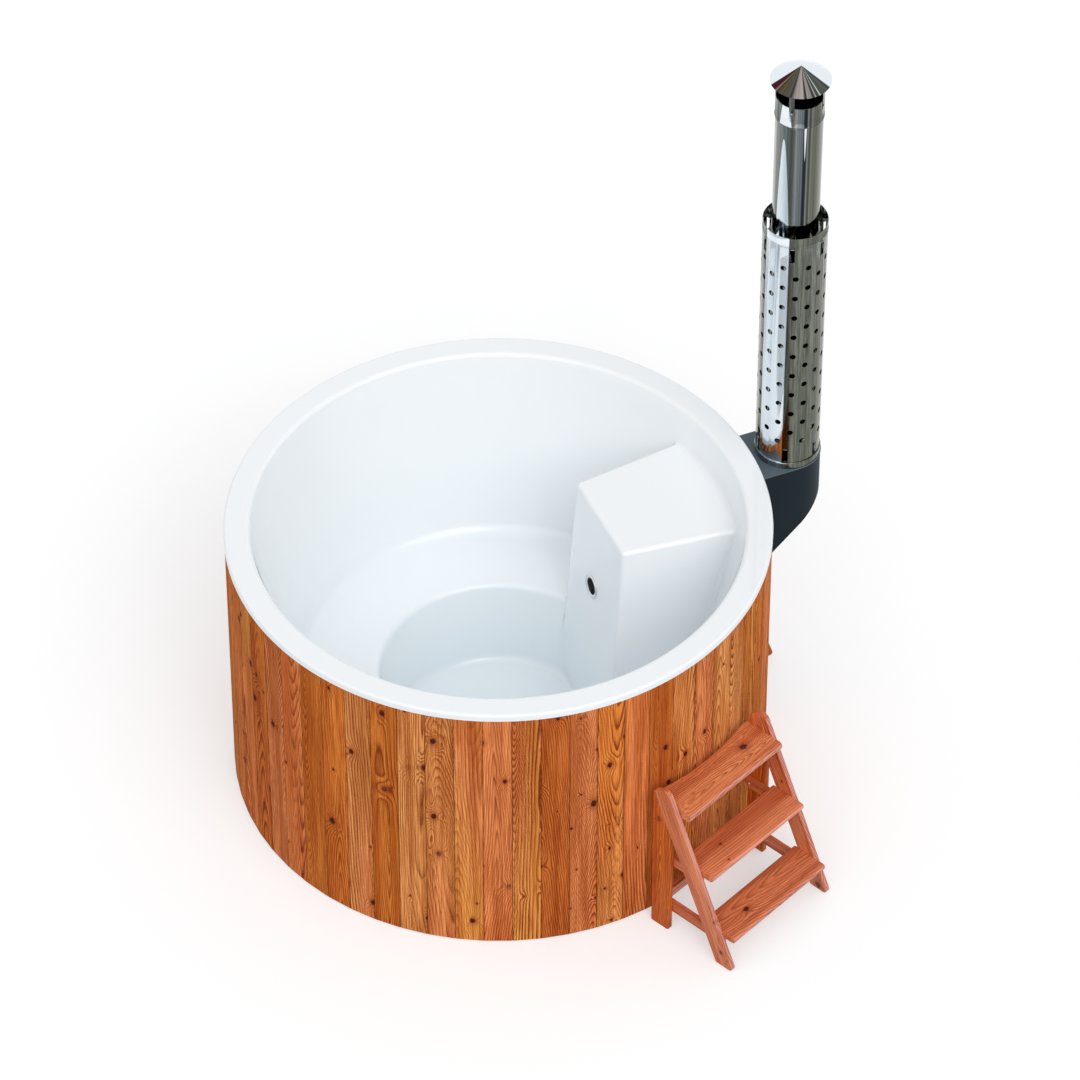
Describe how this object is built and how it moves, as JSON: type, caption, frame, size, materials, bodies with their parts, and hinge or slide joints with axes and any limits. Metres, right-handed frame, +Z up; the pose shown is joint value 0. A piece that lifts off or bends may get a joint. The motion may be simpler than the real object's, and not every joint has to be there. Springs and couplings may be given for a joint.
{
  "type": "wood-heated hot tub",
  "caption": "Round timber-clad hot tub with a white moulded liner, a built-in wood heater with a shielded chimney, and a free-standing step ladder.",
  "frame": {"origin": "centre of the round tub on the ground, on the underside of the middle bearer", "axes": "+Z up, +X from the tub's centre to the heater and its chimney, +Y to the drain's hose tail"},
  "size_m": [2.0575, 2.2948, 2.634],
  "materials": {
    "liner": "glossy white moulded fibreglass",
    "plywood": "sanded plywood",
    "frame_timber": "planed softwood",
    "runner_timber": "oiled softwood",
    "foam": "sprayed foam",
    "cladding": "oiled orange-brown boards",
    "stainless": "satin stainless steel",
    "polished_stainless": "polished stainless steel",
    "chrome_trim": "bright",
    "rubber": "matt black",
    "brass": "satin brass",
    "lever_paint": "dipped red",
    "cast_iron": "blackened",
    "seal_rope": "woven glass rope",
    "black_steel": "heatproof matt black",
    "anthracite": "satin anthracite",
    "grip_wood": "turned hardwood",
    "step_timber": "oiled reddish boards"
  },
  "bodies": {
    "tub": {"liner": "liner", "rim_ring": "plywood", "wall_posts": "frame_timber", "frame_hoops": "plywood", "bench_ribs": "plywood", "base_plate": "plywood", "ground_bearers": "frame_timber", "heater_runners": "runner_timber", "foam_jacket": "foam", "cladding_1": "cladding", "cladding_2": "cladding", "cladding_3": "cladding", "cladding_4": "cladding", "cladding_5": "cladding", "cladding_6": "cladding", "cladding_hatch": "cladding", "drain_strainer": "stainless", "drain_fitting": "stainless", "drain_gasket": "rubber", "drain_pipe": "stainless", "valve_body": "brass", "hose_tail": "brass", "water_jacket": "stainless", "firebox": "cast_iron", "fire_grate": "cast_iron", "front_plate": "stainless", "plate_screws": "stainless", "door_seal": "seal_rope", "hinge_pins": "stainless", "hot_port_ring": "polished_stainless", "hot_pipe": "stainless", "cold_port_ring": "polished_stainless", "cold_pipe": "stainless", "port_gaskets": "rubber", "smoke_duct": "cast_iron", "flue_box": "anthracite", "flue_box_lid": "anthracite", "shield_collar": "chrome_trim", "flue_pipe": "polished_stainless", "heat_shield": "polished_stainless", "shield_spacers": "stainless"},
    "door": {"fire_door": "cast_iron"},
    "latch": {"door_latch": "stainless", "latch_grip": "grip_wood"},
    "drawer": {"ash_drawer": "black_steel"},
    "slider": {"air_slider": "stainless"},
    "valve": {"valve_ball": "chrome_trim", "valve_lever": "lever_paint"},
    "cap": {"rain_cap": "polished_stainless", "cap_rivets": "stainless"},
    "steps": {"stringer_left": "step_timber", "stringer_right": "step_timber", "step_legs": "step_timber", "tread_top": "step_timber", "tread_middle": "step_timber", "tread_bottom": "step_timber", "side_rails": "step_timber", "cross_rail": "step_timber", "step_screws": "stainless"}
  },
  "joints": [
    {"name": "door_hinge", "type": "hinge", "parent": "tub", "child": "door", "pos_m": [0.912, -0.138, 0.363], "axis": [0, 0, -1], "range_deg": [0, 125]},
    {"name": "latch_turn", "type": "hinge", "parent": "door", "child": "latch", "pos_m": [0.92, 0.084, 0.363], "axis": [1, 0, 0], "range_deg": [0, 90]},
    {"name": "drawer_slide", "type": "slide", "parent": "tub", "child": "drawer", "axis": [1, 0, 0], "range_m": [0, 0.3]},
    {"name": "air_slide", "type": "slide", "parent": "drawer", "child": "slider", "axis": [0, 1, 0], "range_m": [0, 0.017]},
    {"name": "valve_turn", "type": "hinge", "parent": "tub", "child": "valve", "pos_m": [-0.15, 0.959, 0.029], "axis": [0, 0, 1], "range_deg": [0, 90]},
    {"name": "cap_lift", "type": "slide", "parent": "tub", "child": "cap", "axis": [0, 0, 1], "range_m": [0, 0.2]},
    {"name": "steps_pull", "type": "slide", "parent": "tub", "child": "steps", "axis": [0.4067, -0.9135, 0], "range_m": [0, 0.5]}
  ]
}
